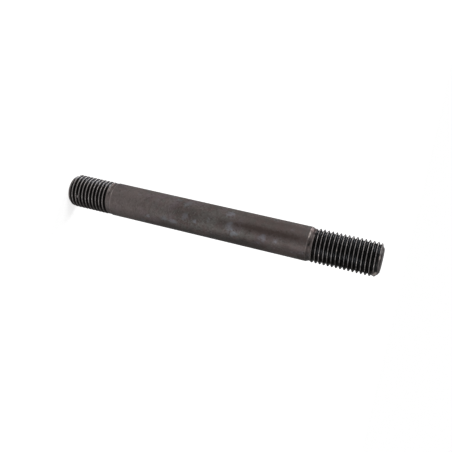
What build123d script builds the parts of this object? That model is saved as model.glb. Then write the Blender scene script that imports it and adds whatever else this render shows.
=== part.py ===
from build123d import *
import os

# Double ended stud: one steel bar, turned down at both ends, with a rolled thread on each.
# It stands on its metal end, the short one that is screwed into a casting or plate.
# The origin is the centre of that end face, and +Z runs along the axis to the nut end.
# All sizes are in millimetres.

# Lengths along the axis, each end counted from the shoulder to its end face
metal_end_length = 44.5
shank_length = 184.0
nut_end_length = 61.5

# Diameters
shank_d = 30.0
thread_d = 29.8          # over the crests, at both ends
metal_neck_d = 29.1
nut_neck_d = 27.9
metal_face_d = 25.2      # flat left inside the end chamfer
nut_face_d = 20.4

# The turned details of each end, from its shoulder out to its face
metal_shoulder_length = 1.0
nut_shoulder_length = 2.1
metal_neck_length = 3.4
nut_neck_length = 1.3
metal_runout_length = 1.1
nut_runout_length = 1.7
metal_chamfer_length = 3.0
nut_chamfer_length = 2.7

# Corner radii left by the tool and by handling
neck_root_radius = 0.8
shoulder_edge_radius = 0.3
thread_start_radius = 0.5
face_edge_radius = 0.4

total_length = metal_end_length + shank_length + nut_end_length


def end_corners(length, shoulder, neck, runout, chamfer, neck_d, face_d):
    """Corners of one threaded end from its shoulder to its face: half width, distance out, corner radius."""
    neck_stop = shoulder + neck
    return [
        (shank_d / 2, 0, shoulder_edge_radius),
        (neck_d / 2, shoulder, neck_root_radius),
        (neck_d / 2, neck_stop, neck_root_radius),
        (thread_d / 2, neck_stop + runout, 0),
        (thread_d / 2, length - chamfer, thread_start_radius),
        (face_d / 2, length, face_edge_radius),
    ]


def stud_outline():
    """Half section of the whole stud, from the centre of the metal end's face to the nut end's."""
    metal_end = end_corners(metal_end_length, metal_shoulder_length, metal_neck_length, metal_runout_length,
                            metal_chamfer_length, metal_neck_d, metal_face_d)
    nut_end = end_corners(nut_end_length, nut_shoulder_length, nut_neck_length, nut_runout_length,
                          nut_chamfer_length, nut_neck_d, nut_face_d)
    lower = [(half, metal_end_length - out, r) for half, out, r in reversed(metal_end)]
    upper = [(half, metal_end_length + shank_length + out, r) for half, out, r in nut_end]
    corners = lower + upper
    points = [(0, 0)] + [(half, z) for half, z, r in corners] + [(0, total_length)]
    return points, [r for half, z, r in corners]


def make_stud():
    """The half section turned about the axis."""
    points, radii = stud_outline()
    with BuildPart() as stud:
        with BuildSketch(Plane.XZ):
            with BuildLine():
                FilletPolyline(*points, radius=radii)
                Line(points[-1], points[0])
            make_face()
        revolve(axis=Axis.Z)
    return stud.part


stud = make_stud()
stud.label = "stud"
os.makedirs("parts", exist_ok=True)
export_step(stud, "parts/stud.step")
print(f"stud: {total_length} mm long, {stud.volume:.0f} cubic mm")
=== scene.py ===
import bpy
import math
from functools import partial
from mathutils import Matrix, Vector


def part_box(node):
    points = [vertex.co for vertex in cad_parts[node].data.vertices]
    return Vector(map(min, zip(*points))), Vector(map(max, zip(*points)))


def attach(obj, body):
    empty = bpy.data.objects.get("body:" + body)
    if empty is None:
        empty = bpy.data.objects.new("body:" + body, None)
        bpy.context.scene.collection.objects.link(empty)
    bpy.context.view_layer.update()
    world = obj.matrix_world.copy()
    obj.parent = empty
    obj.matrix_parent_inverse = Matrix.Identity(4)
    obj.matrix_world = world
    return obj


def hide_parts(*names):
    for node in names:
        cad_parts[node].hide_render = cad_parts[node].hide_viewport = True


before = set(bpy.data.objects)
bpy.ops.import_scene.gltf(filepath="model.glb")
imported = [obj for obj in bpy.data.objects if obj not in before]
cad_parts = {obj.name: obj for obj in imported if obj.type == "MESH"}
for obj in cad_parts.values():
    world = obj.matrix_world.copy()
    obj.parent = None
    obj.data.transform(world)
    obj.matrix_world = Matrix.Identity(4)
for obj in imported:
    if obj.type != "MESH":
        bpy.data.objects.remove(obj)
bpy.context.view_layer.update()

mm = 0.001
degree = math.radians(1.0)


# Feeds a node's inputs: another node's socket is linked, anything else is set
def feed(tree, node, values):
    for slot, value in values.items():
        if isinstance(value, bpy.types.NodeSocket):
            tree.links.new(value, node.inputs[slot])
        else:
            node.inputs[slot].default_value = value


# A new node with its settings, and its inputs by name or by place
def addNode(tree, kind, values=None, **settings):
    node = tree.nodes.new(kind)
    for name, setting in settings.items():
        setattr(node, name, setting)
    feed(tree, node, values or {})
    return node


def maths(tree, operation, *values):
    return addNode(tree, "ShaderNodeMath", dict(enumerate(values)), operation=operation).outputs[0]


# Short forms of maths for one tree
def sums(tree, *operations):
    return [partial(maths, tree, operation) for operation in operations]


def between(tree, low, value, high):
    return maths(tree, "MAXIMUM", maths(tree, "MINIMUM", value, high), low)


def joinVector(tree, x, y, z):
    return addNode(tree, "ShaderNodeCombineXYZ", {0: x, 1: y, 2: z}).outputs[0]


def splitVector(tree, vector):
    return addNode(tree, "ShaderNodeSeparateXYZ", {0: vector}).outputs


# How far a step leads that goes x one way and y square to it
def slant(tree, x, y):
    add, mul = sums(tree, "ADD", "MULTIPLY")
    return maths(tree, "SQRT", add(mul(x, x), mul(y, y)))


def noiseFrom(tree, vector, scale, detail=2.0, roughness=0.5):
    values = {"Vector": vector, "Scale": scale, "Detail": detail, "Roughness": roughness}
    return addNode(tree, "ShaderNodeTexNoise", values).outputs["Fac"]


# A tree with named inputs and one output. Both come as socket name and socket type
def newTree(name, kind, inputs, output):
    tree = bpy.data.node_groups.new(name, kind)
    for side, sockets in (("INPUT", inputs), ("OUTPUT", output)):
        for socketName, socketType in sockets.items():
            tree.interface.new_socket(name=socketName, in_out=side, socket_type=f"NodeSocket{socketType}")
    return tree, tree.nodes.new("NodeGroupInput").outputs, tree.nodes.new("NodeGroupOutput").inputs[0]


# "neckRadius" in a dictionary is "Neck Radius" on a tree
def inputName(key):
    return "".join(f" {letter}" if letter.isupper() else letter for letter in key).title()


def addObject(name, data):
    holder = bpy.data.objects.new(name, data)
    bpy.context.scene.collection.objects.link(holder)
    return holder


# From the stud towards an azimuth, counted from +X, and an elevation, both in degrees
def direction(azimuth, elevation):
    turn, rise = math.radians(azimuth), math.radians(elevation)
    return Vector((math.cos(turn) * math.cos(rise), math.sin(turn) * math.cos(rise), math.sin(rise)))


# The solid that the looks stand for gives the overall sizes, to a tenth of a millimetre
solidLow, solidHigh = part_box("stud")

# The stud in millimetres, as every size below where nothing else is said
stud = {
    "length": round((solidHigh[2] - solidLow[2]) / mm, 1),
    "shankRadius": round(solidHigh[0] / mm, 1),
    "rootFillet": 0.8,
    "shoulderFillet": 0.3,
    "faceFillet": 0.4,
    "faceRing": 0.6,         # share of a face's radius at which a ring of points breaks up the flat
    "columns": 160,
    "arcPoints": 5,
    "weldDistance": 0.002,
}

# Each threaded end, from its shoulder out to its face. crestHeight is one crest's height at angle zero,
# grooveEnd is where the groove has run out. A knock is a place, and the radius that it was beaten to
metalEnd = {
    "length": 44.5,
    "shoulder": 1.0,
    "neck": 3.4,
    "neckRadius": 14.55,
    "cone": 1.1,
    "chamfer": 3.0,
    "faceRadius": 12.6,
    "crestHeight": 12.825,
    "grooveEnd": 42.02,
    "fadeTurns": 1.0,        # turns over which the groove runs out
    "taperPower": 0.9,       # below 1 the ridges stay high further down the chamfer
    "knockAngle": -64.0,     # angle and width in degrees
    "knockWidth": 12.0,
    "knockHeight": 10.5,
    "knockReach": 1.6,
    "knockRadius": 14.15,
}
nutEnd = {
    "length": 61.5,
    "shoulder": 2.1,
    "neck": 1.3,
    "neckRadius": 13.95,
    "cone": 1.7,
    "chamfer": 2.7,
    "faceRadius": 10.2,
    "crestHeight": 237.055,
    "grooveEnd": 231.83,
    "fadeTurns": 0.6,
    "taperPower": 0.5,
    "knockAngle": -10.0,
    "knockWidth": 22.0,
    "knockHeight": 285.8,
    "knockReach": 2.6,
    "knockRadius": 14.0,
}

thread = {
    "pitch": 3.5,
    "depth": 2.15,
    "crestRadius": 14.9,
    "pitchRadius": 13.76,    # the bar that the thread is rolled on
    "crestFlat": 0.4375,     # an eighth of the pitch
    "flankSlope": 1.732,     # radius lost for each millimetre along, on a 60 degree thread
    "crestRounding": 0.16,
    "rootRounding": 0.9,
    "capDepth": 0.5,         # how far the turned cap reaches up the chamfer before the thread starts
    "waviness": 0.012,
    "wavinessScale": 160.0,  # to the metre
    "rowsPerTurn": 16,
    "rowCrowding": 0.55,     # 0 spaces the rows evenly, towards 1 they gather at crest and root
}

# The sizes that a thread takes, each with its unit: what both ends share, then what each has of its own
sharedSizes = {
    "pitch": mm,
    "depth": mm,
    "crestRadius": mm,
    "pitchRadius": mm,
    "crestFlat": mm,
    "flankSlope": 1.0,
    "crestRounding": mm,
    "rootRounding": mm,
    "capDepth": mm,
    "waviness": mm,
    "wavinessScale": 1.0,
    "rowCrowding": 1.0,
}
endSizes = {
    "faceHeight": mm,
    "neckHeight": mm,
    "sheetHeight": mm,
    "neckRadius": mm,
    "faceRadius": mm,
    "chamfer": mm,
    "cone": mm,
    "crestHeight": mm,
    "grooveEnd": mm,
    "fadeTurns": 1.0,
    "taperPower": 1.0,
    "knockAngle": degree,
    "knockWidth": degree,
    "knockHeight": mm,
    "knockReach": mm,
    "knockRadius": mm,
}


# Heights of an end's corners above the metal end's face. outwards is 1 or -1, the way from shoulder to face
def endHeights(end, face, outwards):
    shoulder = face - outwards * end["length"]
    root = shoulder + outwards * end["shoulder"]
    return {
        "shoulderHeight": shoulder,
        "rootHeight": root,
        "neckHeight": root + outwards * end["neck"],
        "sheetHeight": root + outwards * stud["rootFillet"],
        "faceHeight": face,
    }


metalEnd.update(endHeights(metalEnd, 0.0, -1))
nutEnd.update(endHeights(nutEnd, stud["length"], 1))
ends = {"Metal": metalEnd, "Nut": nutEnd}


# A flat grid whose first axis becomes the angle round the stud and whose second counts the rows
def angleGrid(tree, columns, rows):
    add, sub, mul = sums(tree, "ADD", "SUBTRACT", "MULTIPLY")
    grid = addNode(tree, "GeometryNodeMeshGrid", {
        "Size X": 1.0,
        "Size Y": 1.0,
        "Vertices X": add(columns, 1.0),
        "Vertices Y": rows,
    })
    place = splitVector(tree, addNode(tree, "GeometryNodeInputPosition").outputs[0])
    angle = mul(add(place[0], 0.5), math.tau)
    row = maths(tree, "ROUND", mul(add(place[1], 0.5), sub(rows, 1.0)))
    return grid.outputs["Mesh"], angle, row


# A place on the circle of that radius and height
def roundPlace(tree, angle, radius, height):
    x = maths(tree, "MULTIPLY", radius, maths(tree, "COSINE", angle))
    y = maths(tree, "MULTIPLY", radius, maths(tree, "SINE", angle))
    return joinVector(tree, x, y, height)


def movePoints(tree, sheet, place):
    moved = addNode(tree, "GeometryNodeSetPosition", {"Geometry": sheet, "Position": place})
    return moved.outputs["Geometry"]


def storeValue(tree, geometry, name, value):
    values = {"Geometry": geometry, "Name": name, "Value": value}
    store = addNode(tree, "GeometryNodeStoreNamedAttribute", values, data_type="FLOAT", domain="POINT")
    return store.outputs["Geometry"]


# Turns an outline curve, given in the XZ plane with its corner radii as point radii, about the Z axis
def makeTurnedTree():
    inputs = {"Outline": "Object", "Columns": "Int", "Arc Points": "Int"}
    tree, given, result = newTree("turnedSheet", "GeometryNodeTree", inputs, {"Geometry": "Geometry"})
    drawn = addNode(tree, "GeometryNodeObjectInfo", {"Object": given["Outline"]}, transform_space="ORIGINAL")
    rounded = addNode(tree, "GeometryNodeFilletCurve", {
        "Curve": drawn.outputs["Geometry"],
        "Count": given["Arc Points"],
        "Radius": addNode(tree, "GeometryNodeInputRadius").outputs[0],
        "Limit Radius": True,
    }, mode="POLY").outputs["Curve"]
    count = addNode(tree, "GeometryNodeAttributeDomainSize", {0: rounded}, component="CURVE")
    sheet, angle, row = angleGrid(tree, given["Columns"], count.outputs["Point Count"])
    sample = addNode(tree, "GeometryNodeSampleIndex", {
        "Geometry": rounded,
        "Value": addNode(tree, "GeometryNodeInputPosition").outputs[0],
        "Index": row,
    }, data_type="FLOAT_VECTOR", domain="POINT")
    corner = splitVector(tree, sample.outputs[0])
    sheet = storeValue(tree, sheet, "grooveDepth", 0.0)
    sheet = storeValue(tree, sheet, "threaded", 0.0)
    sheet = movePoints(tree, sheet, roundPlace(tree, angle, corner[0], corner[2]))
    tree.links.new(sheet, result)
    return tree


# One threaded end: its rows follow the helix, so every crest and root is a clean line round the stud
def makeThreadTree():
    inputs = {"Columns": "Int", "Rows Per Turn": "Int"}
    inputs.update({inputName(key): "Float" for key in {**sharedSizes, **endSizes}})
    tree, given, result = newTree("threadSheet", "GeometryNodeTree", inputs, {"Geometry": "Geometry"})
    add, sub, mul, div = sums(tree, "ADD", "SUBTRACT", "MULTIPLY", "DIVIDE")

    # Whole turns cover the sheet with some to spare, and rows past its two edges are pressed onto them
    pitch = given["Pitch"]
    towardsNeck = maths(tree, "SIGN", sub(given["Neck Height"], given["Face Height"]))
    sheetFace = add(given["Face Height"], mul(towardsNeck, given["Cap Depth"]))
    low = maths(tree, "MINIMUM", sheetFace, given["Sheet Height"])
    high = maths(tree, "MAXIMUM", sheetFace, given["Sheet Height"])
    firstTurn = sub(maths(tree, "FLOOR", div(sub(low, given["Crest Height"]), pitch)), 1.0)
    turns = add(maths(tree, "CEIL", div(sub(high, low), pitch)), 3.0)
    rows = add(mul(turns, given["Rows Per Turn"]), 1.0)
    sheet, angle, row = angleGrid(tree, given["Columns"], rows)
    angleTurns = div(angle, math.tau)

    # Rows gather at the crest and the root, where the form is curved
    step = div(row, given["Rows Per Turn"])
    wave = maths(tree, "SINE", mul(step, 2 * math.tau))
    alongTurns = add(sub(step, mul(mul(wave, given["Row Crowding"]), 0.5 / math.tau)), firstTurn)
    freeHeight = add(mul(add(alongTurns, angleTurns), pitch), given["Crest Height"])
    height = between(tree, low, freeHeight, high)

    # Distance from the nearest crest gives the thread form
    heightTurns = div(sub(height, given["Crest Height"]), pitch)
    turnsUp = sub(heightTurns, angleTurns)
    offTurns = maths(tree, "PINGPONG", turnsUp, 0.5)
    offCrest = sub(mul(offTurns, pitch), mul(given["Crest Flat"], 0.5))
    flank = sub(given["Crest Radius"], mul(offCrest, given["Flank Slope"]))
    root = sub(given["Crest Radius"], given["Depth"])
    cut = maths(tree, "SMOOTH_MAX", flank, root, given["Root Rounding"])

    # The groove runs out along its own turn, and the crests stop at the cone down to the neck
    grooveTurn = add(add(maths(tree, "FLOOR", turnsUp), 0.5), angleTurns)
    endTurn = div(sub(given["Groove End"], given["Crest Height"]), pitch)
    left = div(mul(sub(endTurn, grooveTurn), towardsNeck), given["Fade Turns"])
    left = between(tree, 0.0, left, 1.0)
    full = mul(left, sub(2.0, left))
    offNeck = mul(sub(given["Neck Height"], height), towardsNeck)
    blank = addNode(tree, "ShaderNodeMapRange", {
        "Value": offNeck,
        "From Max": given["Cone"],
        "To Min": given["Neck Radius"],
        "To Max": given["Crest Radius"],
    }, interpolation_type="SMOOTHSTEP").outputs[0]
    clear = add(sub(given["Neck Radius"], root), mul(given["Crest Rounding"], 2.0))
    lift = mul(clear, sub(1.0, full))        # raises the groove's bottom until it is out of the metal
    form = maths(tree, "SMOOTH_MIN", add(cut, lift), blank, given["Crest Rounding"])

    # Uneven crests, as the rolls leave them
    threaded = between(tree, 0.0, div(offNeck, given["Cone"]), 1.0)
    overCrests = roundPlace(tree, angle, given["Crest Radius"], height)
    uneven = noiseFrom(tree, overCrests, given["Waviness Scale"], 1.0)
    form = sub(form, mul(mul(uneven, given["Waviness"]), threaded))

    # A knock that has smeared one crest over the groove beside it
    across = maths(tree, "SINE", mul(sub(angle, given["Knock Angle"]), 0.5))
    across = div(mul(across, 2.0), given["Knock Width"])
    along = div(sub(height, given["Knock Height"]), given["Knock Reach"])
    share = maths(tree, "EXPONENT", mul(add(mul(across, across), mul(along, along)), -1.0))

    # Towards the face the thread is rolled on a bar that tapers
    offFace = maths(tree, "ABSOLUTE", sub(height, given["Face Height"]))
    taper = maths(tree, "MAXIMUM", sub(1.0, div(offFace, given["Chamfer"])), 0.0)
    bar = sub(given["Pitch Radius"], mul(sub(given["Pitch Radius"], given["Face Radius"]), taper))
    rolled = div(sub(offFace, given["Cap Depth"]), sub(given["Chamfer"], given["Cap Depth"]))
    rolled = maths(tree, "POWER", between(tree, 0.0, rolled, 1.0), given["Taper Power"])
    radius = add(bar, mul(sub(form, given["Pitch Radius"]), rolled))
    radius = add(radius, mul(mul(sub(given["Knock Radius"], radius), share), rolled))
    form = add(form, mul(sub(given["Knock Radius"], form), share))

    # Stored while the sheet is still flat, since angle and row are read from where its points are
    grooveDepth = maths(tree, "MAXIMUM", div(sub(blank, form), given["Depth"]), 0.0)
    sheet = storeValue(tree, sheet, "grooveDepth", mul(grooveDepth, rolled))
    sheet = storeValue(tree, sheet, "threaded", mul(threaded, rolled))
    sheet = movePoints(tree, sheet, roundPlace(tree, angle, radius, height))
    tree.links.new(sheet, result)
    return tree


# The whole stud: two thread sheets between three turned sheets, welded into one closed skin
def makeStudTree(turnedTree, threadTree, outlineNames, steel):
    inputs = {"Columns": "Int", "Rows Per Turn": "Int", "Arc Points": "Int", "Weld Distance": "Float"}
    inputs.update({name: "Object" for name in outlineNames})
    inputs.update({inputName(key): "Float" for key in sharedSizes})
    inputs.update({f"{end} {inputName(key)}": "Float" for end in ends for key in endSizes})
    tree, given, result = newTree("studTree", "GeometryNodeTree", inputs, {"Geometry": "Geometry"})
    joined = addNode(tree, "GeometryNodeJoinGeometry")
    for name in outlineNames:
        values = {"Outline": given[name], "Columns": given["Columns"], "Arc Points": given["Arc Points"]}
        sheet = addNode(tree, "GeometryNodeGroup", values, node_tree=turnedTree)
        tree.links.new(sheet.outputs[0], joined.inputs[0])
    for end in ends:
        values = {"Columns": given["Columns"], "Rows Per Turn": given["Rows Per Turn"]}
        values.update({inputName(key): given[inputName(key)] for key in sharedSizes})
        values.update({inputName(key): given[f"{end} {inputName(key)}"] for key in endSizes})
        sheet = addNode(tree, "GeometryNodeGroup", values, node_tree=threadTree)
        tree.links.new(sheet.outputs[0], joined.inputs[0])
    chain = [
        joined,
        addNode(tree, "GeometryNodeMergeByDistance", {"Distance": given["Weld Distance"]}),
        addNode(tree, "GeometryNodeSetShadeSmooth"),
        addNode(tree, "GeometryNodeRealizeInstances"),
        addNode(tree, "GeometryNodeSetMaterial", {"Material": steel}),
    ]
    for before, after in zip(chain, chain[1:]):
        tree.links.new(before.outputs[0], after.inputs[0])
    tree.links.new(chain[-1].outputs[0], result)
    return tree


# A poly curve in the XZ plane: x is the radius, z the height, and each point carries its corner radius
def outlineCurve(name, corners):
    curve = bpy.data.curves.new(name, "CURVE")
    curve.dimensions = "3D"
    spline = curve.splines.new("POLY")
    spline.points.add(len(corners) - 1)
    for point, (radius, height, fillet) in zip(spline.points, corners):
        point.co = (radius * mm, 0.0, height * mm, 1.0)
        point.radius = fillet * mm
    return addObject(name, curve)


# From the centre of a face, over its edge and up the chamfer to where the thread starts
def capCorners(end, inwards):
    face, radius, depth = end["faceHeight"], end["faceRadius"], thread["capDepth"]
    slope = (thread["pitchRadius"] - radius) / end["chamfer"]
    return [
        (0.0, face, 0.0),
        (radius * stud["faceRing"], face, 0.0),
        (radius, face, stud["faceFillet"]),
        (radius + depth * slope, face + inwards * depth, 0.0),
    ]


# From neck to neck, over both shoulders and the shank
def middleCorners():
    return [
        (metalEnd["neckRadius"], metalEnd["sheetHeight"], 0.0),
        (metalEnd["neckRadius"], metalEnd["rootHeight"], stud["rootFillet"]),
        (stud["shankRadius"], metalEnd["shoulderHeight"], stud["shoulderFillet"]),
        (stud["shankRadius"], nutEnd["shoulderHeight"], stud["shoulderFillet"]),
        (nutEnd["neckRadius"], nutEnd["rootHeight"], stud["rootFillet"]),
        (nutEnd["neckRadius"], nutEnd["sheetHeight"], 0.0),
    ]


def setModifierInputs(modifier, values):
    for item in modifier.node_group.interface.items_tree:
        if item.item_type == "SOCKET" and item.in_out == "INPUT":
            modifier[item.identifier] = values[item.name]


def makeStud(steel):
    outlines = {
        "Metal Cap": capCorners(metalEnd, 1),
        "Middle": middleCorners(),
        "Nut Cap": capCorners(nutEnd, -1)[::-1],
    }
    curves = {name: outlineCurve(name.replace(" ", ""), corners) for name, corners in outlines.items()}
    values = {
        "Columns": stud["columns"],
        "Rows Per Turn": thread["rowsPerTurn"],
        "Arc Points": stud["arcPoints"],
        "Weld Distance": stud["weldDistance"] * mm,
        **curves,
    }
    values.update({inputName(key): thread[key] * unit for key, unit in sharedSizes.items()})
    for name, end in ends.items():
        values.update({f"{name} {inputName(key)}": end[key] * unit for key, unit in endSizes.items()})

    holder = addObject("doubleEndedStud", bpy.data.meshes.new("studSeed"))
    modifier = holder.modifiers.new("studForm", "NODES")
    modifier.node_group = makeStudTree(makeTurnedTree(), makeThreadTree(), list(curves), steel)
    setModifierInputs(modifier, values)
    bpy.context.view_layer.update()
    depsgraph = bpy.context.evaluated_depsgraph_get()
    evaluated = holder.evaluated_get(depsgraph)
    baked = bpy.data.meshes.new_from_object(evaluated, preserve_all_data_layers=True, depsgraph=depsgraph)
    holder.modifiers.remove(modifier)
    holder.data = baked
    baked.name = "doubleEndedStud"
    for curve in curves.values():
        bpy.data.objects.remove(curve)
    triangles = sum(len(face.vertices) - 2 for face in baked.polygons)
    print("stud mesh:", len(baked.vertices), "points,", triangles, "triangles")
    return holder


finish = {
    "olive": (0.068, 0.065, 0.0615, 1.0),
    "brown": (0.078, 0.062, 0.060, 1.0),
    "violet": (0.078, 0.0625, 0.067, 1.0),
    # dark brown dirt, also laid as painted shade in the dark streak and on both necks
    "darkBrownAndShade": (0.036, 0.0268, 0.0246, 1.0),
    "paleDust": (0.135, 0.120, 0.117, 1.0),
    "scuff": (0.140, 0.147, 0.172, 1.0),
    # painted light in the grooves
    "grooveLight": (0.075, 0.077, 0.084, 1.0),
    # old oil, also laid as painted shade: deep in the grooves, along the underside and on the necks
    "oil": (0.011, 0.010, 0.0095, 1.0),
    "coldDark": (0.009, 0.0125, 0.0145, 1.0),
    "wornCrest": (0.198, 0.188, 0.185, 1.0),
    # rubbed corners, also laid as a painted highlight on the nut end's neck
    "rubbedAndHighlit": (0.20, 0.17, 0.165, 1.0),
    # bare steel of nicks and the burr, also laid as painted highlights on the nut end's shoulder
    "bareSteelAndHighlight": (0.34, 0.30, 0.28, 1.0),
    "scuffRange": (0.6, 0.72),       # noise where something starts and where it is full
    "scuffGrain": (0.35, 0.6),
    "scuffStrength": 0.6,
    "grooveRange": (0.08, 0.45),     # share of the thread depth
    "crestRange": (0.02, 0.15),
    "crestGrain": (0.25, 0.6),
    "fineMark": 3.0,         # marks up to this reach have the finest edges
    "broadMark": 110.0,      # past this reach their edges drift
    "broadTint": 40.0,       # the same for the oxide's tints
    "metallic": 0.85,
    "specular": 0.2,
    "edgeTint": (0.45, 0.45, 0.45, 1.0),
    "roughness": 0.45,
    "roughnessSpread": 0.16,
    "crestPolish": 0.08,     # roughness lost on worn crests, then in oily grooves
    "oilGloss": 0.1,
    "latheAround": 60.0,     # turning marks to the metre, round the stud and along it
    "latheAlong": 3200.0,
    "latheRelief": 0.6,      # how much of the relief each of the three noises gives
    "grainRelief": 0.4,
    "fineRelief": 0.6,
    "reliefDepth": 0.06,
    "bump": 0.5,
}

# The oxide's noises: scale to the metre, detail and roughness
noises = {
    "drift": (42.0, 2.0, 0.5),
    "tint": (64.0, 3.0, 0.55),
    "smear": (75.0, 4.0, 0.62),
    "patch": (190.0, 3.0, 0.55),
    "cloud": (430.0, 3.0, 0.6),
    "fine": (850.0, 4.0, 0.6),
    "grain": (3800.0, 2.0, 0.5),
}

# Patches of another tone: noise, where it starts and where it is full, strength, tone
oxidePatches = [
    ("patch", 0.42, 0.58, 1.0, "brown"),
    ("tint", 0.5, 0.64, 1.0, "violet"),
]
dirtPatches = [
    ("drift", 0.5, 0.68, 0.45, "darkBrownAndShade"),
    ("cloud", 0.46, 0.66, 0.55, "darkBrownAndShade"),
    ("fine", 0.5, 0.72, 0.42, "paleDust"),
]

# Worn corners, and a painted highlight along the nut end's neck: radius, height, reach, strength
rims = [
    (stud["shankRadius"], metalEnd["shoulderHeight"], 0.55, 0.6),
    (stud["shankRadius"], nutEnd["shoulderHeight"], 0.5, 0.35),
    # a painted highlight along the nut end's neck, where its fillet catches the light
    (nutEnd["neckRadius"], nutEnd["neckHeight"] + 0.7, 0.9, 0.65),
    (nutEnd["faceRadius"], nutEnd["faceHeight"], 0.5, 0.5),
    (metalEnd["faceRadius"], metalEnd["faceHeight"], 0.5, 0.5),
]

# Marked places: angle in degrees, height, radius, reach along X, Y and Z, strength, tone.
# The oxide's broad tints come first, then broad shades, paler towards the metal end and darker towards the
# nut end, then painted light in the grooves, then what lies over all, with painted shade and painted
# highlights among it
tints = [
    (-90.0, 62.0, 15.0, (28.0, 28.0, 62.0), 0.7, "brown"),
    (-95.0, 137.0, 15.0, (28.0, 28.0, 60.0), 0.7, "olive"),
    (-75.0, 212.0, 15.0, (22.0, 22.0, 46.0), 0.6, "brown"),
]
shades = [
    (0.0, 38.0, 0.0, (150.0, 150.0, 130.0), 0.2, "paleDust"),
    (-128.0, 216.0, 15.0, (20.0, 20.0, 120.0), 0.45, "darkBrownAndShade"),
]
# Painted light: grey in the grooves where their flanks would catch light
grooveLightMarks = [
    (-66.0, 244.0, 14.0, (6.0, 6.0, 15.0), 0.65, "grooveLight"),
    (-69.0, 267.0, 14.0, (6.0, 6.0, 17.0), 0.65, "grooveLight"),
    (-148.0, 258.0, 14.0, (11.0, 11.0, 60.0), 0.45, "grooveLight"),
    (-156.0, 20.0, 14.0, (9.0, 9.0, 44.0), 0.7, "grooveLight"),
    (-133.0, 285.0, 13.5, (8.0, 8.0, 4.0), 0.7, "grooveLight"),
]
marks = [
    # darker and colder in tone over the nut end
    (0.0, 262.0, 0.0, (40.0, 40.0, 110.0), 0.32, "coldDark"),
    (-134.0, 204.0, 15.0, (10.0, 10.0, 50.0), 0.3, "darkBrownAndShade"),     # darker towards the nut end
    (-52.0, 204.0, 15.0, (10.0, 10.0, 50.0), 0.3, "darkBrownAndShade"),
    (-99.0, 184.0, 15.0, (5.2, 9.0, 42.0), 0.9, "darkBrownAndShade"),        # painted shade: the dark streak down the side that faces the camera
    (-99.0, 210.0, 15.0, (4.8, 9.0, 28.0), 0.85, "darkBrownAndShade"),
    (-133.0, 117.5, 15.0, (6.0, 6.0, 5.4), 0.25, "scuff"),           # pale scuffs along the shank
    (-83.0, 119.0, 15.0, (5.0, 5.0, 5.2), 0.3, "scuff"),
    (-76.0, 128.5, 15.0, (3.0, 3.0, 3.2), 0.35, "scuff"),
    (-130.0, 158.0, 15.0, (5.4, 5.4, 6.4), 0.35, "scuff"),
    (-88.0, 160.5, 15.0, (6.5, 6.5, 4.2), 0.3, "scuff"),
    (-66.0, 164.0, 15.0, (4.4, 4.4, 7.0), 0.35, "scuff"),
    (-74.0, 191.0, 15.0, (4.6, 4.6, 6.5), 0.35, "scuff"),
    (-73.0, 202.0, 15.0, (4.0, 4.0, 2.8), 0.35, "scuff"),
    (-62.0, 99.0, 15.0, (4.0, 4.0, 5.0), 0.35, "scuff"),
    (-58.0, 108.0, 15.0, (3.6, 3.6, 7.0), 0.35, "scuff"),
    (-57.0, 83.0, 15.0, (3.2, 3.2, 3.6), 0.35, "scuff"),
    (-146.0, 230.6, 14.2, (8.0, 8.0, 3.6), 0.75, "darkBrownAndShade"),       # nut end's shoulder and neck: painted shade on the neck, painted highlights on the shoulder
    (-123.0, 229.0, 14.8, (4.2, 4.2, 1.0), 0.33, "bareSteelAndHighlight"),
    (-138.0, 233.2, 14.0, (4.4, 4.4, 1.6), 0.85, "oil"),
    (-110.0, 229.0, 14.9, (2.6, 2.6, 0.7), 0.3, "bareSteelAndHighlight"),
    (-90.0, 230.3, 14.0, (4.5, 4.5, 1.2), 0.9, "oil"),
    (-112.0, 44.2, 15.0, (5.0, 5.0, 0.6), 0.45, "bareSteelAndHighlight"),        # metal end's shoulder and neck
    # painted shade on the metal end's neck, where the key light makes it bright, and in the shallow groove
    # beside it
    (-149.0, 41.1, 14.5, (7.0, 7.0, 2.6), 0.9, "darkBrownAndShade"),
    (-106.0, 41.8, 14.4, (5.0, 5.0, 1.0), 0.7, "oil"),
    (-28.0, 260.0, 15.0, (11.0, 11.0, 48.0), 0.85, "oil"),           # painted shade along one side, the underside in the camera's view
    (-28.0, 20.0, 15.0, (11.0, 11.0, 40.0), 0.6, "oil"),
    (-14.0, 136.5, 15.0, (17.0, 17.0, 240.0), 0.6, "oil"),
    (-98.0, 288.5, 12.8, (2.8, 2.8, 1.2), 0.7, "bareSteelAndHighlight"),         # nut end's chamfer
    (-130.0, 288.4, 12.6, (6.0, 6.0, 1.8), 0.75, "wornCrest"),
    (-95.0, 289.6, 11.0, (7.0, 7.0, 1.0), 0.7, "oil"),
    (-26.0, 286.6, 13.8, (4.4, 4.4, 4.0), 0.8, "bareSteelAndHighlight"),         # the burr at its tip
    (-65.0, 271.3, 14.9, (1.3, 1.3, 0.6), 0.9, "bareSteelAndHighlight"),         # nicks on three crests
    (-90.0, 253.6, 14.9, (1.2, 1.2, 0.6), 0.9, "bareSteelAndHighlight"),
    (-60.0, 240.0, 14.9, (1.2, 1.2, 0.6), 0.9, "bareSteelAndHighlight"),
    (-66.0, 10.5, 14.2, (2.4, 2.4, 1.4), 0.7, "wornCrest"),          # the metal end's smeared crest
]

# How an edge breaks up, in shares of the reach: where it would end without grain, how much of it full grain
# eats away, and how softly it fades
markEdge = {"end": 1.85, "eaten": 2.0, "fade": 0.7}
rimEdge = {"end": 1.5, "eaten": 1.0, "fade": 0.8}


def blend(tree, share, first, second):
    return addNode(tree, "ShaderNodeMix", {0: share, 6: first, 7: second}, data_type="RGBA").outputs[2]


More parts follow.
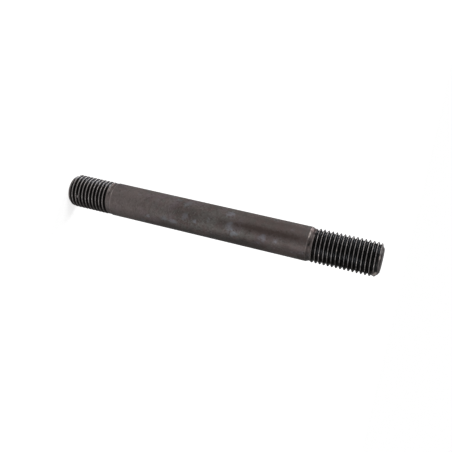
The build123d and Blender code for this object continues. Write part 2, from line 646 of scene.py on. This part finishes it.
# 0 below low, 1 above high, soft between
def ramp(tree, value, low, high):
    values = {"Value": value, "From Min": low, "From Max": high}
    return addNode(tree, "ShaderNodeMapRange", values, interpolation_type="SMOOTHSTEP").outputs[0]


def brokenEdge(tree, far, grain, edge):
    sub, mul = sums(tree, "SUBTRACT", "MULTIPLY")
    return ramp(tree, sub(sub(edge["end"], far), mul(grain, edge["eaten"])), 0.0, edge["fade"])


def vectorMaths(tree, operation, *values):
    return addNode(tree, "ShaderNodeVectorMath", dict(enumerate(values)), operation=operation).outputs


# A soft-edged place on the surface, broken up by grain
def makeMarkGroup():
    inputs = {"Place": "Vector", "Centre": "Vector", "Reach": "Vector", "Grain": "Float"}
    tree, given, result = newTree("markedPlace", "ShaderNodeTree", inputs, {"Mask": "Float"})
    off = vectorMaths(tree, "SUBTRACT", given["Place"], given["Centre"])[0]
    share = vectorMaths(tree, "DIVIDE", off, given["Reach"])[0]
    far = vectorMaths(tree, "LENGTH", share)["Value"]
    tree.links.new(brokenEdge(tree, far, given["Grain"], markEdge), result)
    return tree


# The turned corner at one radius and height, worn where the grain lets it
def makeRimGroup():
    inputs = {"Place": "Vector", "Radius": "Float", "Height": "Float", "Reach": "Float", "Grain": "Float"}
    tree, given, result = newTree("rimLine", "ShaderNodeTree", inputs, {"Mask": "Float"})
    sub, div = sums(tree, "SUBTRACT", "DIVIDE")
    x, y, z = splitVector(tree, given["Place"])
    off = slant(tree, sub(slant(tree, x, y), given["Radius"]), sub(z, given["Height"]))
    far = div(off, given["Reach"])
    tree.links.new(brokenEdge(tree, far, given["Grain"], rimEdge), result)
    return tree


def onSurface(angle, height, radius):
    turn = math.radians(angle)
    return (radius * math.cos(turn) * mm, radius * math.sin(turn) * mm, height * mm)


def makeSteel():
    steel = bpy.data.materials.new("oxideSteel")
    steel.use_nodes = True
    tree = steel.node_tree
    add, sub, mul = sums(tree, "ADD", "SUBTRACT", "MULTIPLY")
    place = addNode(tree, "ShaderNodeTexCoord").outputs["Object"]
    noise = {name: noiseFrom(tree, place, *row) for name, row in noises.items()}
    markGroup = makeMarkGroup()
    rimGroup = makeRimGroup()

    # Another tone over the colour, where the mask shows it
    def lay(colour, mask, strength, tone):
        return blend(tree, mul(mask, strength), colour, finish[tone])

    def layPatches(colour, rows):
        for name, low, high, strength, tone in rows:
            colour = lay(colour, ramp(tree, noise[name], low, high), strength, tone)
        return colour

    # The wider a mark reaches, the coarser the noise that breaks up its edge
    def layMarks(colour, rows, broad=finish["broadMark"]):
        for angle, height, radius, reach, strength, tone in rows:
            widest = max(reach)
            grain = "fine" if widest <= finish["fineMark"] else "cloud" if widest <= broad else "drift"
            mask = addNode(tree, "ShaderNodeGroup", {
                "Place": place,
                "Centre": onSurface(angle, height, radius),
                "Reach": tuple(size * mm for size in reach),
                "Grain": noise[grain],
            }, node_tree=markGroup).outputs[0]
            colour = lay(colour, mask, strength, tone)
        return colour

    # The oxide: brown, olive and violet greys in soft patches, with dirt and scuffs over them
    colour = layPatches(finish["olive"], oxidePatches)
    colour = layMarks(colour, tints, finish["broadTint"])
    colour = layPatches(colour, dirtPatches)
    scuffed = ramp(tree, noise["smear"], *finish["scuffRange"])
    scuffed = mul(scuffed, ramp(tree, noise["fine"], *finish["scuffGrain"]))
    colour = lay(colour, scuffed, finish["scuffStrength"], "scuff")
    colour = layMarks(colour, shades)

    # Grooves hold old oil, darkened further by their depth as painted shade; crests are worn
    depth = addNode(tree, "ShaderNodeAttribute", attribute_name="grooveDepth").outputs["Fac"]
    threaded = addNode(tree, "ShaderNodeAttribute", attribute_name="threaded").outputs["Fac"]
    oilAndGrooveShade = ramp(tree, depth, *finish["grooveRange"])
    colour = lay(colour, oilAndGrooveShade, 1.0, "oil")
    # painted light in the grooves
    colour = layMarks(colour, grooveLightMarks)
    crest = mul(sub(1.0, ramp(tree, depth, *finish["crestRange"])), threaded)
    crest = mul(crest, ramp(tree, noise["fine"], *finish["crestGrain"]))
    colour = lay(colour, crest, 1.0, "wornCrest")

    # Turned corners rubbed in handling, and a painted highlight along the nut end's neck
    for radius, height, reach, strength in rims:
        mask = addNode(tree, "ShaderNodeGroup", {
            "Place": place,
            "Radius": radius * mm,
            "Height": height * mm,
            "Reach": reach * mm,
            "Grain": noise["patch"],
        }, node_tree=rimGroup).outputs[0]
        colour = lay(colour, mask, strength, "rubbedAndHighlit")
    colour = layMarks(colour, marks)

    spread = finish["roughnessSpread"]
    rough = maths(tree, "MULTIPLY_ADD", noise["patch"], spread, finish["roughness"] - spread / 2)
    rough = sub(rough, mul(crest, finish["crestPolish"]))
    rough = sub(rough, mul(oilAndGrooveShade, finish["oilGloss"]))

    # Turning marks as fine rings: travel grows with the height and with the radius, so faces have them too
    x, y, z = splitVector(tree, place)
    travel = mul(add(z, slant(tree, x, y)), finish["latheAlong"])
    stretched = joinVector(tree, mul(x, finish["latheAround"]), mul(y, finish["latheAround"]), travel)
    rings = noiseFrom(tree, stretched, 1.0)
    relief = mul(noise["grain"], finish["grainRelief"])
    relief = maths(tree, "MULTIPLY_ADD", rings, finish["latheRelief"], relief)
    relief = add(relief, mul(noise["fine"], finish["fineRelief"]))
    bump = addNode(tree, "ShaderNodeBump", {
        "Strength": finish["bump"],
        "Distance": finish["reliefDepth"] * mm,
        "Height": relief,
    })
    feed(tree, tree.nodes["Principled BSDF"], {
        "Base Color": colour,
        "Metallic": finish["metallic"],
        "Specular IOR Level": finish["specular"],
        "Specular Tint": finish["edgeTint"],
        "Roughness": rough,
        "Normal": bump.outputs["Normal"],
    })
    return steel


studio = {
    "floorReach": 12.0,      # metres to each side
    "floorColour": (0.8, 0.8, 0.8, 1.0),
    "floorGlow": 0.7,
    "skyColour": (1.0, 1.0, 1.0, 1.0),
    "skyLight": 0.15,        # the sky's strength as a light, while 1 is its strength where it is seen
}

# Azimuth, elevation and width in degrees, strength
lights = {
    "keyLight": (-154.0, 14.0, 40.0, 2.2),
    "fillLight": (-49.0, 8.0, 22.0, 1.45),
    "backLight": (152.0, 12.0, 24.0, 3.2),
}


# 1 for what the camera sees, also in a reflection or through glass, 0 for what lights the stud
def seenShare(tree):
    path = addNode(tree, "ShaderNodeLightPath").outputs
    seen = maths(tree, "MAXIMUM", path["Is Camera Ray"], path["Is Glossy Ray"])
    return maths(tree, "MAXIMUM", seen, path["Is Transmission Ray"])


def makeFloor():
    paper = bpy.data.materials.new("palePaper")
    paper.use_nodes = True
    tree = paper.node_tree
    tree.nodes.clear()
    diffuse = addNode(tree, "ShaderNodeBsdfDiffuse", {"Color": studio["floorColour"]})
    glow = maths(tree, "MULTIPLY", seenShare(tree), studio["floorGlow"])
    lift = addNode(tree, "ShaderNodeEmission", {"Strength": glow})
    added = addNode(tree, "ShaderNodeAddShader", {0: diffuse.outputs[0], 1: lift.outputs[0]})
    addNode(tree, "ShaderNodeOutputMaterial", {"Surface": added.outputs[0]})
    mesh = bpy.data.meshes.new("floor")
    reach = studio["floorReach"]
    corners = [(-reach, -reach, 0), (reach, -reach, 0), (reach, reach, 0), (-reach, reach, 0)]
    mesh.from_pydata(corners, [], [(0, 1, 2, 3)])
    mesh.materials.append(paper)
    floor = addObject("floor", mesh)


def makeWorld():
    world = bpy.data.worlds.new("studio")
    bpy.context.scene.world = world
    world.use_nodes = True
    tree = world.node_tree
    skyLight = studio["skyLight"]
    strength = maths(tree, "MULTIPLY_ADD", seenShare(tree), 1.0 - skyLight, skyLight)
    feed(tree, tree.nodes["Background"], {"Color": studio["skyColour"], "Strength": strength})


# A broad soft light from far away. Its width is how wide it looks from the stud
def makeLight(name, azimuth, elevation, width, strength):
    data = bpy.data.lights.new(name, "SUN")
    data.energy = strength
    data.angle = math.radians(width)
    light = addObject(name, data)
    light.rotation_euler = direction(azimuth, elevation).to_track_quat("Z", "Y").to_euler()


camera = {
    "aim": (1.24, 0.0, 152.82),
    "distance": 587.6,
    "azimuth": -90.127,      # angles in degrees
    "elevation": 16.753,
    "roll": 103.115,
    "focalPixels": 667.17,
    "framePixels": 452.0,
    "sensor": 36.0,
    "clip": (0.01, 100.0),   # metres
}


def makeCamera():
    data = bpy.data.cameras.new("camera")
    data.sensor_width = camera["sensor"]
    data.lens = camera["focalPixels"] / camera["framePixels"] * camera["sensor"]
    data.clip_start, data.clip_end = camera["clip"]
    back = direction(camera["azimuth"], camera["elevation"])
    level = (-back).to_track_quat("-Z", "Y").to_matrix()
    roll = Matrix.Rotation(math.radians(camera["roll"]), 3, "Z")
    holder = addObject("camera", data)
    holder.location = Vector(camera["aim"]) * mm + back * camera["distance"] * mm
    holder.rotation_euler = (level @ roll).to_euler()
    bpy.context.scene.camera = holder


print("camera, floor and light")
bpy.context.scene.view_settings.view_transform = "Standard"
makeCamera()
makeFloor()
makeWorld()
for name, values in lights.items():
    makeLight(name, *values)

print("steel")
oxideSteel = makeSteel()

print("stud")
studPiece = makeStud(oxideSteel)
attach(studPiece, "root")
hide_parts("stud")
